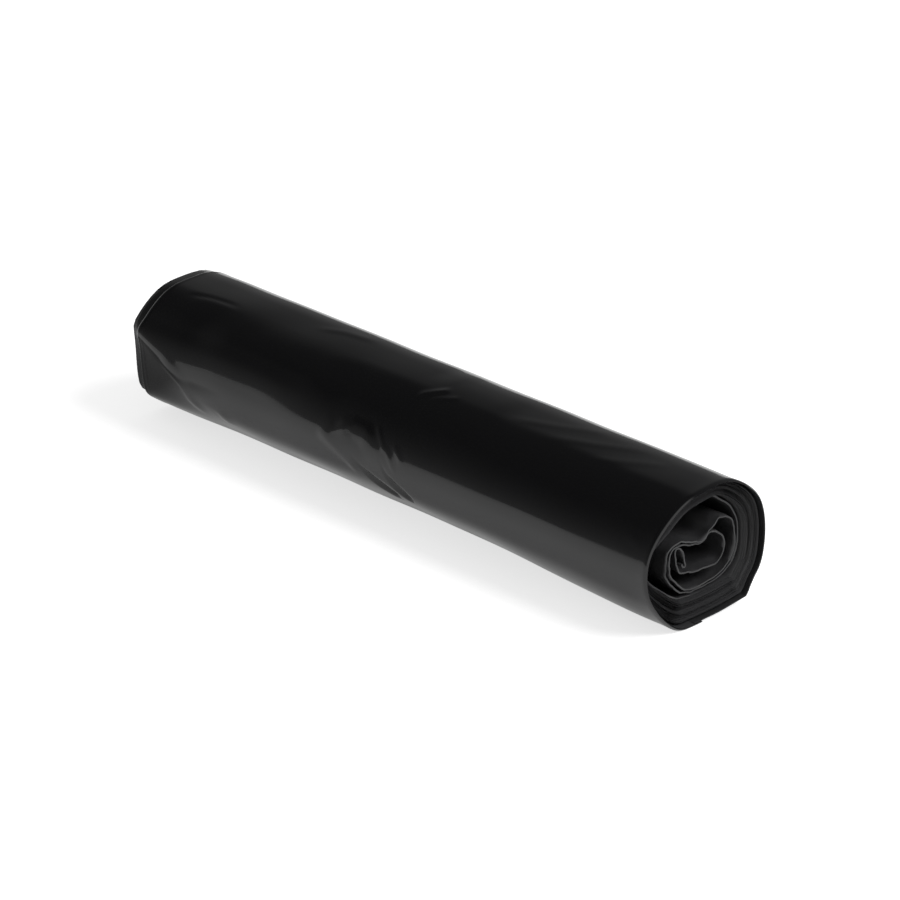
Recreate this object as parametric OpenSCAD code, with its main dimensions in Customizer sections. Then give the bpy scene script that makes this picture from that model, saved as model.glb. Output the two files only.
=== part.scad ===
// Roll of bin bags: one long web of folded film, wound without a core.
// Lengths are in millimetres. X runs along the roll, towards the end where the last bag
// stands out. Z points up, and the origin lies under the middle, where the roll rests.
// Seen from that end, the turns run anticlockwise from the loose middle outwards.

/* [Film] */
// Width of the folded web
web_w = 350; // [200:10:500]
// Thickness of one modelled turn, which stands for several thin ones
turn_t = 0.4; // [0.3:0.05:0.45]
// Mean air between two modelled turns
turn_gap = 0.6; // [0.5:0.05:0.8]

/* [Roll] */
// Width of the roll's section
roll_w = 77.8; // [70:0.2:95]
// Height of the roll's section, from the surface it lies on
roll_h = 66.2; // [60:0.2:80]
// Thickness of the tightly wound turns around the loose middle
stack_t = 11; // [8:0.5:13]
// How the air grows from the outer turns inwards, where 1 is even
looseness = 1.04; // [1:0.01:1.08]

/* [Drift of the edges] */
// How far the last bag stands out past the turns below it
last_step = 4.5; // [0:0.5:8]
// How far those stand out past the innermost turns
inner_drift = 2; // [0:0.5:6]
// Unevenness of the wound edges
edge_wobble = 0.5; // [0:0.1:1]

/* [Pressed flat] */
// Depth of the flat at the end where the last bag lies back
flat_depth = 7; // [1:0.2:7.6]
// Length over which that flat runs out
flat_len = 46; // [30:1:80]
// Direction that it faces at that end, from +Y towards +Z
flat_angle = 187; // [185:1:191]
// How much further it turns towards the underside as it runs out
flat_twist = 16; // [8:1:20]

/* [Raised corner] */
// How high the underside's corner is raised at the end where the last bag stands out
rise = 3.2; // [0.4:0.1:4]
// Width over which the underside rises to it
rise_w = 28; // [20:1:32]
// Length over which the rise runs out
rise_len = 70; // [40:1:120]

/* [Hidden] */
film_colour = "#1a1b1d";

// The section's outer shape, anticlockwise from the free edge of the last bag underneath.
// The first two values are hundredths of half the width and half the height, from the
// middle. The third is what the stack of turns is thicker there, in millimetres.
outline = [
    [-5, -100, 1.5], [23, -103, 1.8], [50, -104, 1.5], [71, -95, 1.5],
    [82, -70, -0.2], [97, -49, 0], [103, -12, 0.2], [101, 27, 0],
    [90, 60, 0.3], [64, 86, -0.5], [34, 103, -2], [-3, 101, -2],
    [-37, 95, -1.8], [-71, 70, -1.4], [-95, 40, -0.8], [-103, 9, -0.2],
    [-99, -29, 0], [-78, -66, 0.5], [-51, -95, 2.5], [-32, -101, 2]
];

// The loose middle, from the inner end of the film outwards, in hundredths of half the
// width and half the height of the hollow that the stack leaves.
curl = [[-40, -7], [-35, -22], [-24, -25], [-29, -2], [-38, 23], [-51, 24], [-48, -9]];
inner_loop = [
    [-41, -34], [-18, -42], [14, -45], [47, -45], [63, -32], [67, 0], [52, 24],
    [31, 33], [15, 15], [-14, 22], [-41, 31], [-62, 25]
];
kidney_loop = [
    [-67, 0], [-66, -28], [-45, -58], [-23, -77], [14, -77], [48, -70], [75, -52],
    [87, -18], [87, 20], [71, 52], [49, 63], [31, 43], [14, 20], [-14, 29], [-45, 40],
    [-68, 31]
];
slack_loop = [
    [-75, 2], [-73, -32], [-50, -66], [-27, -84], [14, -85], [52, -78], [81, -58],
    [94, -21], [95, 25], [82, 68], [50, 97]
];
loose = concat(curl, inner_loop, kidney_loop, slack_loop);

x_far = -(web_w + last_step + inner_drift) / 2;
rise_angle = atan(rise / rise_w) - 90;
corners = len(outline);
turns = floor(stack_t / (turn_t + turn_gap));
// Points on the film for each corner point of its section
steps = 2;
// The slack runs into the stack half a turn before the first full one.
first_corner = -corners / 2;
last_corner = corners * turns;
hollow = [roll_w / 2 - stack_t, roll_h / 2 - stack_t];
// How the loose turns lie behind the stack, and behind each other, where the flat presses
loose_depth = 1.4;
loose_pitch = 0.1;
// Least distance from the film's edges to the rings of points where the flats run out
ring_clear = 1;
// Where the underside begins to rise to its raised corner
rise_from = -3;
// Least share of the flat's depth that still eases over its length, however far it turns
least_easing = 0.25;
// Part of a turn over which the web steps across, and how far round the next edge wave is
step_turn = 0.4;
wobble_angle = 150;

function unit(v) = v / norm(v);
function facing(angle) = [cos(angle), sin(angle)];

// Share of the stack's thickness that still lies outside a point of the web
function wound_depth(share) = share < 0 ? 1 - looseness * share : pow(1 - share, looseness);

// A point of the web is [y, z, depth, turn, cover], with y and z measured from the middle
// of the section. The depth is what lies between the point and the outline, the turn is
// how many full turns are wound by then, and the cover is how much film lies outside it.
function wound(n) =
    let (
        k = (n % corners + corners) % corners,
        rim = [outline[k].x * roll_w / 200, outline[k].y * roll_h / 200],
        thick = stack_t + outline[k].z,
        depth = turn_t / 2 + thick * wound_depth(n / last_corner),
        outermost = n + corners * floor((last_corner - n) / corners),
        cover = depth - thick * wound_depth(outermost / last_corner),
        place = rim - depth * unit(rim)
    )
    [place.x, place.y, depth, n / corners, cover];

function slack(k) =
    let (
        inward = len(loose) - 1 - k,
        depth = stack_t + loose_depth + loose_pitch * inward,
        turn = (first_corner - inward) / corners
    )
    [loose[k].x * hollow.x / 100, loose[k].y * hollow.y / 100, depth, turn, depth];

corner_points = concat(
    [for (k = [0 : len(loose) - 1]) slack(k)],
    [for (n = [first_corner : last_corner]) wound(n)]
);

// A smooth curve that is drawn by its corner points and never crosses their polygon
function eased(a, b, c, t) = (1 - t) * (1 - t) / 2 * a + (0.5 + t - t * t) * b + t * t / 2 * c;
web = concat(
    [
        for (k = [1 : len(corner_points) - 2], s = [0 : steps - 1])
            eased(corner_points[k - 1], corner_points[k], corner_points[k + 1], s / steps)
    ],
    [corner_points[len(corner_points) - 1]]
);
count = len(web);

// The two faces of the film lie half its thickness outside and inside the web.
function along(k) = web[min(k + 1, count - 1)] - web[max(k - 1, 0)];
function outward(k) = let (t = unit([along(k).x, along(k).y])) [t.y, -t.x, -1, 0, -1];
function face_point(k, side) = web[k] + side * turn_t / 2 * outward(k);
loop = concat(
    [for (k = [0 : count - 1]) face_point(k, 1)],
    [for (k = [count - 1 : -1 : 0]) face_point(k, -1)]
);

// A flat pushes a point along the way it faces, by what the point stands out past it.
// The depth below the outer surface counts too, so each turn is pressed against the next.
function pushed(p, angle, excess) = p - max(0, excess) * facing(angle);

// The flat at the back end eases evenly along the roll, and sooner above than below.
function side_excess(q) =
    [q.x, q.y] * facing(flat_angle) + q.z - (roll_w / 2 - flat_depth);
function side_easing(q) =
    let (below = [q.x, q.y] * facing(flat_angle + 90))
    max(least_easing * flat_depth, flat_depth - below * tan(flat_twist)) / flat_len;

// The roll's own weight presses it flat where it lies.
function on_floor(q, x) =
    let (p = pushed([q.x, q.y], flat_angle, side_excess(q) - side_easing(q) * (x - x_far)))
    pushed(p, -90, -p.y + q[4] - roll_h / 2);

// The underside's raised corner eases evenly along the roll too.
function rise_excess(q) =
    (on_floor(q, -x_far) - [rise_from, -roll_h / 2]) * facing(rise_angle) + q[4];
function settled(q, x) =
    pushed(on_floor(q, x), rise_angle, rise_excess(q) - rise / rise_len * (end_x(q) - x));

// The web drifts evenly as it is wound, and steps across just before the last turn.
function smooth(t) = let (u = max(0, min(1, t))) u * u * (3 - 2 * u);
function drift(turn) =
    let (
        stepped = smooth((turn - turns + 1) / step_turn + 1),
        wave = edge_wobble * (1 - cos(turn * wobble_angle)) / 2,
        inner = inner_drift * pow(max(0, turn / turns), 2) + wave
    )
    inner * (1 - stepped) + (inner_drift + last_step) * stepped;

// Where a point's stretch of film begins and ends, and where the flats run out on it
function end_x(q) = x_far + drift(q[3]) + web_w;
function stations(q) = [
    x_far + drift(q[3]),
    x_far + max(drift(q[3]) + ring_clear, side_excess(q) / side_easing(q)),
    end_x(q) - max(ring_clear, rise_excess(q) * rise_len / rise),
    end_x(q)
];
function in_space(q, x) = let (p = settled(q, x)) [x, p.x, p.y + roll_h / 2];

// The film, lofted from end to end through the rings where its flats run out
module bag_roll() {
    n = len(loop);
    rings = 4;
    points = [for (s = [0 : rings - 1], q = loop) in_space(q, stations(q)[s])];
    middle = (max([for (p = points) p.y]) + min([for (p = points) p.y])) / 2;
    sides = [
        for (s = [0 : rings - 2], k = [0 : n - 1])
            let (a = s * n + k, b = s * n + (k + 1) % n, c = a + n, d = b + n)
            each k < count ? [[a, c, d], [a, d, b]] : [[a, c, b], [b, c, d]]
    ];
    ends = [
        for (k = [0 : count - 2])
            let (a = k, b = k + 1, c = n - 2 - k, d = n - 1 - k, e = (rings - 1) * n)
            each [[a, b, c], [a, c, d], [a + e, c + e, b + e], [a + e, d + e, c + e]]
    ];
    color(film_colour) translate([0, -middle, 0])
        polyhedron(points = points, faces = concat(sides, ends), convexity = 20);
}

bag_roll();
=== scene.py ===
"""A roll of black plastic bin bags on a white sweep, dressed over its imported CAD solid.

Lengths are in millimetres until a mesh, a node input or an object takes them, in metres.
X runs along the roll towards the end where the last bag stands out, and Z points up.
"""

import logging
import math
from dataclasses import dataclass, field
from enum import Enum
from typing import Any, ClassVar

import bmesh
import bpy
import numpy as np
from mathutils import Matrix, Vector


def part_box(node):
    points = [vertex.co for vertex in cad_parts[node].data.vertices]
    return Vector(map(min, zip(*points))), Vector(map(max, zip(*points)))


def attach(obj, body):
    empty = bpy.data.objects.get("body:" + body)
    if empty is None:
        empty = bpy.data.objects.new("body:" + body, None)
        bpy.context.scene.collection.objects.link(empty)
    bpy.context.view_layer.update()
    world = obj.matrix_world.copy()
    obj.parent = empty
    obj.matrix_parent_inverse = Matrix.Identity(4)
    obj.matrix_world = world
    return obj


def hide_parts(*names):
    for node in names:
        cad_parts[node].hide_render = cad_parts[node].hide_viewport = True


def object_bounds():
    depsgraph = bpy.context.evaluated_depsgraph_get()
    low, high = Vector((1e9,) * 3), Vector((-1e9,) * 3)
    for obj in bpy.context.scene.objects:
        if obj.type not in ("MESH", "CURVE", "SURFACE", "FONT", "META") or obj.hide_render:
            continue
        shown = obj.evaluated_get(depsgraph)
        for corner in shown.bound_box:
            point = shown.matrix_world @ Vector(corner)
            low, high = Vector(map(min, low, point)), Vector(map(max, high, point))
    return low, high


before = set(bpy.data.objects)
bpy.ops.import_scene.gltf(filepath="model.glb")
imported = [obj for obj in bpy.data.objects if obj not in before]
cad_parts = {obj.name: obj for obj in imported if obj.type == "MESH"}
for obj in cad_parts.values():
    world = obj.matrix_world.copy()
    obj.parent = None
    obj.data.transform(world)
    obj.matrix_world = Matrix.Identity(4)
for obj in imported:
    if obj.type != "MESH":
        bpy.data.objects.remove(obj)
CAD_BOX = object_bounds()

LOG = logging.getLogger("bin_bag_roll")
MM = 0.001
HUNDREDTHS = 100
ROUNDING = 1e-6
WHITE = "#ffffff"
NUMBER = "ShaderNodeMath"
VECTOR = "ShaderNodeVectorMath"

Sockets = dict[str, bpy.types.NodeSocket]


def linear(hex_colour: str) -> tuple[float, float, float, float]:
    """Turns an sRGB hex colour to the linear one that shaders take, by the standard's curve.

    Args:
        hex_colour: Six hexadecimal digits after a hash.

    Returns:
        Red, green, blue and an alpha of 1.
    """
    channels = [int(hex_colour[k : k + 2], 16) / 255 for k in (1, 3, 5)]
    red, green, blue = (
        c / 12.92 if c <= 0.04045 else ((c + 0.055) / 1.055) ** 2.4 for c in channels
    )
    return red, green, blue, 1.0


def add(
    tree: bpy.types.NodeTree, kind: str, links: dict | None = None, out: int | str = 0,
    **settings: Any,
) -> Any:
    """Adds a node, makes its settings, and fills its inputs.

    Args:
        tree: The tree that gets the node.
        kind: The node's type.
        links: What goes into each input, by name or number: a socket, or a plain value.
        out: The output to hand back.
        **settings: The node's own properties.

    Returns:
        The chosen output socket, or the node itself where it has none.
    """
    node = tree.nodes.new(kind)
    for name, value in settings.items():
        setattr(node, name, value)
    for key, value in (links or {}).items():
        if isinstance(value, bpy.types.NodeSocket):
            tree.links.new(value, node.inputs[key])
        else:
            node.inputs[key].default_value = value
    return node.outputs[out] if len(node.outputs) else node


def add_steps(tree: bpy.types.NodeTree, known: Sockets, steps: tuple) -> None:
    """Adds a chain of sums, each of which can take up what those before it gave.

    Args:
        tree: The tree that gets the nodes.
        known: Sockets by name, which each step's result joins.
        steps: For each step, its result's name, its node's type, its operation, and what
            goes in: sockets' names, or plain numbers.
    """
    for name, kind, operation, *inputs in steps:
        keys = (0, "Scale") if operation == "SCALE" else range(len(inputs))
        links = {key: known.get(value, value) for key, value in zip(keys, inputs)}
        out = "Value" if operation == "DOT_PRODUCT" else 0
        known[name] = add(tree, kind, links, out, operation=operation)


def mirrored_rays(tree: bpy.types.NodeTree, path: bpy.types.Node) -> bpy.types.NodeSocket:
    """Adds the node that is 1 for the rays by which gloss and clear things see."""
    return add(
        tree, NUMBER, {0: path.outputs["Is Glossy Ray"], 1: path.outputs["Is Transmission Ray"]},
        operation="MAXIMUM",
    )


def put_in_scene(name: str, data: bpy.types.ID) -> bpy.types.Object:
    """Makes an object of its data and links it into the scene."""
    thing = bpy.data.objects.new(name, data)
    bpy.context.collection.objects.link(thing)
    return thing


def store(mesh: bpy.types.Mesh, values: dict[str, np.ndarray]) -> None:
    """Stores numbers, or rows of three, on a mesh's points under their names."""
    for name, value in values.items():
        kind, item = ("FLOAT", "value") if value.ndim == 1 else ("FLOAT_VECTOR", "vector")
        mesh.attributes.new(name, kind, "POINT").data.foreach_set(item, value.ravel())


def facing(degrees: float) -> np.ndarray:
    """Gives the direction in the section that lies an angle from +Y towards +Z."""
    return np.array([math.cos(math.radians(degrees)), math.sin(math.radians(degrees))])


def smooth(share: np.ndarray) -> np.ndarray:
    """Eases a share from 0 to 1 with no slope at either end."""
    held = np.clip(share, 0.0, 1.0)
    return held * held * (3 - 2 * held)


class Crease(Enum):
    """How a fold meets the film beside it."""

    SHARP = "straight flanks that meet in a crease"
    SOFT = "a rounded back that runs out smoothly"


@dataclass(frozen=True)
class PolyethyleneFilm:
    """Blown low-density polyethylene, pigmented with carbon black.

    The film is glossy, with a thin haze that comes and goes. Winding leaves it softly
    puckered, and the resin gives its surface a faint grain.

    Attributes:
        name: The material's name.
        black: The film's colour.
        ior: Its index of refraction.
        roughness: Its roughness where it is clear of haze.
        haze_roughness: Its roughness where the haze is thickest.
        haze_size: Millimetres across a patch of haze.
        haze_spread: The pattern's values that are clear of haze and full of it.
        pucker_size: Millimetres across a pucker.
        pucker_stretch: How close puckers lie along the roll, as a share of how close they
            lie round it.
        pucker_height: How high a pucker stands, in millimetres.
        grain_size: Millimetres across a grain, coarser than the real one so that it shows.
        grain_height: How high a grain stands, in millimetres.
    """

    name: str = "glossy_polyethylene_film"
    black: str = "#111112"
    ior: float = 1.53
    roughness: float = 0.07
    haze_roughness: float = 0.16
    haze_size: float = 35.0
    haze_spread: tuple = (0.35, 0.7)
    pucker_size: float = 24.0
    pucker_stretch: float = 0.45
    pucker_height: float = 0.09
    grain_size: float = 2.4
    grain_height: float = 0.003

    def material(self) -> bpy.types.Material:
        """Builds the film's material.

        Returns:
            A material whose patterns lie in object coordinates.
        """
        film = bpy.data.materials.new(self.name)
        film.use_nodes = True
        tree = film.node_tree
        shader = tree.nodes["Principled BSDF"]
        shader.inputs["Base Color"].default_value = linear(self.black)
        shader.inputs["IOR"].default_value = self.ior
        place = add(tree, "ShaderNodeTexCoord", out="Object")
        haze = add(
            tree, "ShaderNodeTexNoise",
            {"Vector": place, "Scale": 1 / (self.haze_size * MM), "Detail": 3.0, "Roughness": 0.5},
        )
        clear, full = self.haze_spread
        rough = add(
            tree, "ShaderNodeMapRange",
            {"Value": haze, "From Min": clear, "From Max": full, "To Min": self.roughness,
             "To Max": self.haze_roughness},
        )
        tree.links.new(rough, shader.inputs["Roughness"])
        # Puckers are longer along the roll, because the web is wound tight.
        stretched = add(
            tree, "ShaderNodeMapping", {"Vector": place, "Scale": (self.pucker_stretch, 1.0, 1.0)}
        )
        pucker = add(
            tree, "ShaderNodeTexNoise",
            {"Vector": stretched, "Scale": 1 / (self.pucker_size * MM), "Detail": 2.0,
             "Roughness": 0.45},
        )
        grain = add(
            tree, "ShaderNodeTexNoise",
            {"Vector": place, "Scale": 1 / (self.grain_size * MM), "Detail": 1.0},
        )
        puckered = add(
            tree, "ShaderNodeBump",
            {"Height": pucker, "Distance": self.pucker_height * MM, "Strength": 1.0}, out="Normal",
        )
        grained = add(
            tree, "ShaderNodeBump",
            {"Height": grain, "Distance": self.grain_height * MM, "Strength": 1.0,
             "Normal": puckered},
            out="Normal",
        )
        tree.links.new(grained, shader.inputs["Normal"])
        return film


@dataclass(frozen=True)
class WhiteSweep:
    """Matt white paper sweep, lit to white all round the object, with painted shade that only gloss
    sees.

    Attributes:
        paper: The paper's colour.
        glow: What it adds for the camera, so that it comes out white.
        mirrored_glow: What it adds where gloss shows it.
        shade: How bright gloss shows the painted shade behind the roll's back end.
        shade_middle: The middle of that part, in metres.
        shade_from: How far from there the shade is full, in metres.
        shade_to: How far from there it ends, in metres.
    """

    paper: str = "#e6e6e6"
    glow: float = 0.7
    mirrored_glow: float = 0.32
    shade: float = 0.19
    shade_middle: tuple = (-0.222, -0.05, 0.0)
    shade_from: float = 0.03
    shade_to: float = 0.075

    def material(self) -> bpy.types.Material:
        """Builds the sweep's material, which cameras see as white, and gloss as white but for
        painted shade.

        Returns:
            A diffuse material with a glow that only camera, glossy and transmitted rays see.
        """
        sweep = bpy.data.materials.new("white_paper_sweep")
        sweep.use_nodes = True
        tree = sweep.node_tree
        tree.nodes.remove(tree.nodes["Principled BSDF"])
        path = tree.nodes.new("ShaderNodeLightPath")
        mirrored = add(
            tree, NUMBER, {0: mirrored_rays(tree, path), 1: self.mirrored_glow},
            operation="MULTIPLY",
        )
        strength = add(
            tree, NUMBER, {0: path.outputs["Is Camera Ray"], 1: self.glow, 2: mirrored},
            operation="MULTIPLY_ADD",
        )
        glow = add(tree, "ShaderNodeEmission", {"Strength": strength})
        matt = add(tree, "ShaderNodeBsdfDiffuse", {"Color": linear(self.paper)})
        lit = add(tree, "ShaderNodeAddShader", {0: glow, 1: matt})
        # Painted shade: a dim patch on the sweep behind the roll's back end, which only glossy rays
        # see.
        place = add(tree, "ShaderNodeTexCoord", out="Object")
        away = add(
            tree, VECTOR, {0: place, 1: self.shade_middle}, out="Value", operation="DISTANCE"
        )
        shaded = add(
            tree, "ShaderNodeMapRange",
            {"Value": away, "From Min": self.shade_to, "From Max": self.shade_from},
            interpolation_type="SMOOTHSTEP",
        )
        shaded = add(
            tree, NUMBER, {0: shaded, 1: path.outputs["Is Glossy Ray"]}, operation="MULTIPLY"
        )
        dim = add(tree, "ShaderNodeEmission", {"Strength": self.shade})
        seen = add(tree, "ShaderNodeMixShader", {0: shaded, 1: lit, 2: dim})
        tree.links.new(seen, tree.nodes["Material Output"].inputs["Surface"])
        return sweep


@dataclass(frozen=True)
class Section:
    """The roll's section, from the loose middle to the free edge of the last bag.

    Corner points are in hundredths of half a width and half a height, and other sizes in
    millimetres.

    Attributes:
        width: The roll's width.
        height: Its height.
        stack: The stack's thickness.
        looseness: How much more room the turns take towards the middle.
        counted_turns: The turns of the CAD model's film, which the sweep counts in.
        turns: The turns in the stack.
        bunches: The bunches that the turns lie in.
        parting: The share that each harmonic has in how the bunches part.
        most_parting: How far fully open bunches have come apart.
        stack_film: The film's thickness in the stack.
        loose_film: Its thickness in the loose middle, where it is crumpled.
        last_film: Its thickness in the last bag.
        loose_depth: How much deeper than the stack the loose middle starts.
        loose_pitch: How much deeper each corner point of it lies than the one outside it.
        outline: The roll's outline, each point with what the stack is thicker there.
        openness: How far the bunches are open at each point of the outline.
        curl: The film's inner end.
        inner_loop: The loop round the curl.
        kidney_loop: The dented loop round that.
        slack_loop: The loop that lies against the stack.
    """

    width: float = 77.8
    height: float = 66.2
    stack: float = 11.0
    looseness: float = 1.04
    counted_turns: int = 11
    turns: int = 27
    bunches: int = 5
    parting: tuple = (1.0, 0.6, 0.3)
    most_parting: float = 0.85
    stack_film: float = 0.2
    loose_film: float = 0.8
    last_film: float = 0.4
    loose_depth: float = 1.4
    loose_pitch: float = 0.1
    outline: tuple = (
        (-5, -100, 1.5), (23, -103, 1.8), (50, -104, 1.5), (71, -95, 1.5),
        (82, -70, -0.2), (97, -49, 0), (103, -12, 0.2), (101, 27, 0),
        (90, 60, 0.3), (64, 86, -0.5), (34, 103, -2), (-3, 101, -2),
        (-37, 95, -1.8), (-71, 70, -1.4), (-95, 40, -0.8), (-103, 9, -0.2),
        (-99, -29, 0), (-78, -66, 0.5), (-51, -95, 2.5), (-32, -101, 2),
    )
    openness: tuple = (
        0.3, 0.3, 0.5, 0.9, 0.3, 0.3, 0.9, 0.6, 0.3, 0.9,
        0.5, 0.2, 0.2, 0.6, 0.3, 0.3, 0.5, 0.95, 0.6, 0.3,
    )
    curl: tuple = ((-40, -7), (-35, -22), (-24, -25), (-29, -2), (-38, 23), (-51, 24), (-48, -9))
    inner_loop: tuple = (
        (-41, -34), (-18, -42), (14, -45), (47, -45), (63, -32), (67, 0), (52, 24),
        (31, 33), (15, 15), (-14, 22), (-41, 31), (-62, 25),
    )
    kidney_loop: tuple = (
        (-67, 0), (-66, -28), (-45, -58), (-23, -77), (14, -77), (48, -70), (75, -52),
        (87, -18), (87, 20), (71, 52), (49, 63), (31, 43), (14, 20), (-14, 29), (-45, 40),
        (-68, 31),
    )
    slack_loop: tuple = (
        (-75, 2), (-73, -32), (-50, -66), (-27, -84), (14, -85), (52, -78), (81, -58),
        (94, -21), (95, 25), (82, 68), (50, 97),
    )

    def cover_share(self, outside: float, openness: float) -> float:
        """Works out what share of the stack lies outside a point of the film.

        Args:
            outside: How many turns of film lie outside the point.
            openness: How far the bunches of turns have come apart there.

        Returns:
            0 on the last turn's free edge, 1 where the stack ends, and more in the slack.
        """
        if outside <= 1:
            return (outside / self.counted_turns) ** self.looseness
        last = (1 / self.counted_turns) ** self.looseness
        if outside > self.turns:
            return 1 + self.looseness * (outside - self.turns) / self.counted_turns
        t = (outside - 1) / (self.turns - 1)
        wave = 2 * math.pi * self.bunches
        parting = sum(
            share * math.sin(k * wave * t) / k for k, share in enumerate(self.parting, start=1)
        )
        return last + (1 - last) * (t + self.most_parting * openness * parting / wave)

    def counted_turn(self, share: float) -> float:
        """Gives the turn of the CAD model's film that has the same share of the stack outside."""
        if share > 1:
            return -(share - 1) * self.counted_turns / self.looseness
        return self.counted_turns * (1 - share ** (1 / self.looseness))

    def wound(self, outside: float) -> list[float]:
        """Places one corner point of the wound stack.

        Args:
            outside: How many turns of film lie outside the point.

        Returns:
            Y, Z, depth below the outline, turn, cover and thickness of the film there.
        """
        corners = len(self.outline)
        k = round(-outside * corners) % corners
        wide, high, thicker = self.outline[k]
        rim = np.array([wide * self.width, high * self.height]) / (2 * HUNDREDTHS)
        thick = self.stack + thicker
        share = self.cover_share(outside, self.openness[k])
        film = self.last_film if outside <= 1 else self.stack_film
        if outside > self.turns:
            film = self.loose_film
        depth = self.last_film / 2 + thick * share
        part_turn = outside - math.floor(outside + ROUNDING)
        cover = depth - thick * self.cover_share(part_turn, self.openness[k])
        y, z = rim - depth * rim / np.linalg.norm(rim)
        return [y, z, depth, self.counted_turn(share), cover, film]

    def slack(self) -> list[list[float]]:
        """Places the corner points of the loose middle, from the film's inner end outwards."""
        loops = self.curl + self.inner_loop + self.kidney_loop + self.slack_loop
        half = np.array([self.width / 2 - self.stack, self.height / 2 - self.stack]) / HUNDREDTHS
        points = []
        for k, point in enumerate(loops):
            inward = len(loops) - 1 - k
            y, z = np.array(point) * half
            depth = self.stack + self.loose_depth + self.loose_pitch * inward
            turn = -0.5 - inward / len(self.outline)
            points.append([y, z, depth, turn, depth, self.loose_film])
        return points

    def corner_points(self) -> np.ndarray:
        """Places every corner point of the film, from its inner end to its free edge."""
        corners = len(self.outline)
        first = -corners * (2 * self.turns + 1) // 2
        wound = [self.wound(-n / corners) for n in range(first, 1)]
        return np.array(self.slack() + wound)

    @staticmethod
    def eased(points: np.ndarray, steps: int, to_corner: bool = False) -> np.ndarray:
        """Draws a smooth curve by its corner points.

        Args:
            points: One row for each corner point.
            steps: Points on the curve for each corner point.
            to_corner: Whether the curve ends on the last corner point, not half way to it.

        Returns:
            The curve's rows, from half way between the first two corner points.
        """
        t = (np.arange(steps) / steps)[None, :, None]
        a, b, c = (points[k : len(points) - 2 + k, None, :] for k in range(3))
        curve = (1 - t) ** 2 / 2 * a + (0.5 + t - t * t) * b + t * t / 2 * c
        end = points[-1] if to_corner else (points[-2] + points[-1]) / 2
        return np.vstack([curve.reshape(-1, points.shape[1]), end])


@dataclass(frozen=True)
class Fold:
    """One fold line pressed into the last bag.

    Attributes:
        line: Points along it, left to right: millimetres from the back end, and from the
            free edge.
        height: How far it stands out, or in where negative.
        above: How far its flank reaches on the side away from the free edge.
        below: How far its flank reaches on the other side.
        crease: How it meets the film beside it.
        grows: Whether it starts as nothing and is highest near the end of its line.
        hollow: The power that its upper flank rises with, more where it is steeper at the
            crease.
    """

    FLANK_POWER: ClassVar[float] = 1.15
    EVEN_ENDS: ClassVar[tuple] = (0.25, 0.25)
    GROWN_ENDS: ClassVar[tuple] = (0.8, 0.12)
    LEAST_WIDTH: ClassVar[float] = 0.15

    line: tuple
    height: float
    above: float
    below: float
    crease: Crease = Crease.SHARP
    grows: bool = False
    hollow: float = FLANK_POWER

    def lift(self, along: np.ndarray, around: np.ndarray) -> np.ndarray:
        """Works out how far the fold lifts each point of the film.

        Args:
            along: Millimetres from the back end.
            around: Millimetres from the free edge.

        Returns:
            Millimetres outwards, in the shape of the inputs.
        """
        corners = np.array(self.line, float)
        spans = np.linalg.norm(np.diff(corners, axis=0), axis=1)
        starts = np.concatenate([[0], np.cumsum(spans)])
        best = np.full(along.shape, np.inf)
        upper = np.zeros(along.shape, bool)
        travel = np.zeros(along.shape)
        for (a, b), span, start in zip(zip(corners[:-1], corners[1:]), spans, starts):
            way = (b - a) / span
            u = np.clip((along - a[0]) * way[0] + (around - a[1]) * way[1], 0, span)
            dx = along - a[0] - u * way[0]
            ds = around - a[1] - u * way[1]
            distance = np.hypot(dx, ds)
            nearer = distance < best
            best = np.where(nearer, distance, best)
            upper = np.where(nearer, way[0] * ds > way[1] * dx, upper)
            travel = np.where(nearer, (start + u) / starts[-1], travel)
        first, last = self.GROWN_ENDS if self.grows else self.EVEN_ENDS
        ends = smooth(travel / first) * smooth((1 - travel) / last)
        width = np.where(upper, self.above, self.below)
        if self.grows:
            width = width * np.maximum(ends, self.LEAST_WIDTH)
        reach = np.clip(1 - best / width, 0, 1)
        if self.crease is Crease.SOFT:
            return self.height * ends * smooth(reach)
        return self.height * ends * reach ** np.where(upper, self.hollow, self.FLANK_POWER)


@dataclass(frozen=True)
class Give:
    """A stretch of the roll that has given way, or bulges, with all its turns.

    Attributes:
        along: Where it starts, where it is full from and to, and where it ends, in
            millimetres from the back end.
        middle: Its Y, from the middle of the roll, and its Z.
        reach: How far from there in the section it is felt.
        move: How far the film moves there, along Y and Z.
    """

    along: tuple
    middle: tuple
    reach: float
    move: tuple

    def shift(self, place: np.ndarray) -> np.ndarray:
        """Works out how far each point of the film moves.

        Args:
            place: X from the back end, Y and Z of each point, in millimetres.

        Returns:
            Millimetres along Y and Z.
        """
        start, full_from, full_to, end = self.along
        share = smooth((place[:, 0] - start) / (full_from - start))
        share *= smooth((end - place[:, 0]) / (end - full_to))
        away = np.hypot(place[:, 1] - self.middle[0], place[:, 2] - self.middle[1])
        share *= np.exp(-((away / self.reach) ** 2))
        return share[:, None] * np.array(self.move)


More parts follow.
